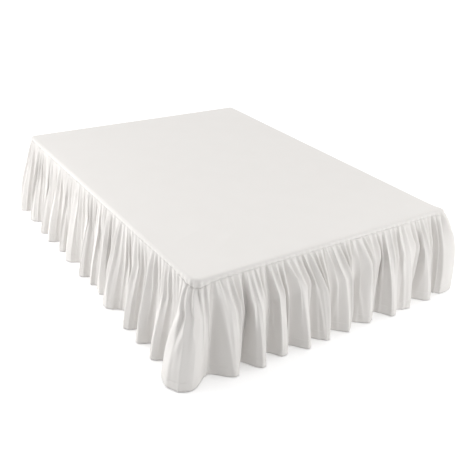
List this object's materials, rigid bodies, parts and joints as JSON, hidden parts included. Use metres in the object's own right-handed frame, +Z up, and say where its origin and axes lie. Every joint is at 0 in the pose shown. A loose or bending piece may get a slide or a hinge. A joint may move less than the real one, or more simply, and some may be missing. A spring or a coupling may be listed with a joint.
{
  "type": "gathered bed skirt on a plain bed base",
  "caption": "Bed skirt with a flat deck and a gathered ruffle on three sides, on a plain legged bed base.",
  "frame": {"origin": "on the floor under the middle of the whole object's bounding box", "axes": "+Z up, +Y along the bed from the foot to the head, +X to the right side of the bed seen from the foot"},
  "size_m": [1.7978, 2.1745, 0.457],
  "materials": {
    "white_cotton": "matt plain-weave cotton, warm white",
    "base_cloth": "matt woven cover, light grey",
    "leg_wood": "satin oiled wood"
  },
  "bodies": {
    "root": {"deck": "white_cotton", "ruffle_left": "white_cotton", "ruffle_foot": "white_cotton", "ruffle_right": "white_cotton", "base": "base_cloth", "leg_left_foot": "leg_wood", "leg_left_middle": "leg_wood", "leg_left_head": "leg_wood", "leg_right_foot": "leg_wood", "leg_right_middle": "leg_wood", "leg_right_head": "leg_wood"}
  },
  "joints": []
}
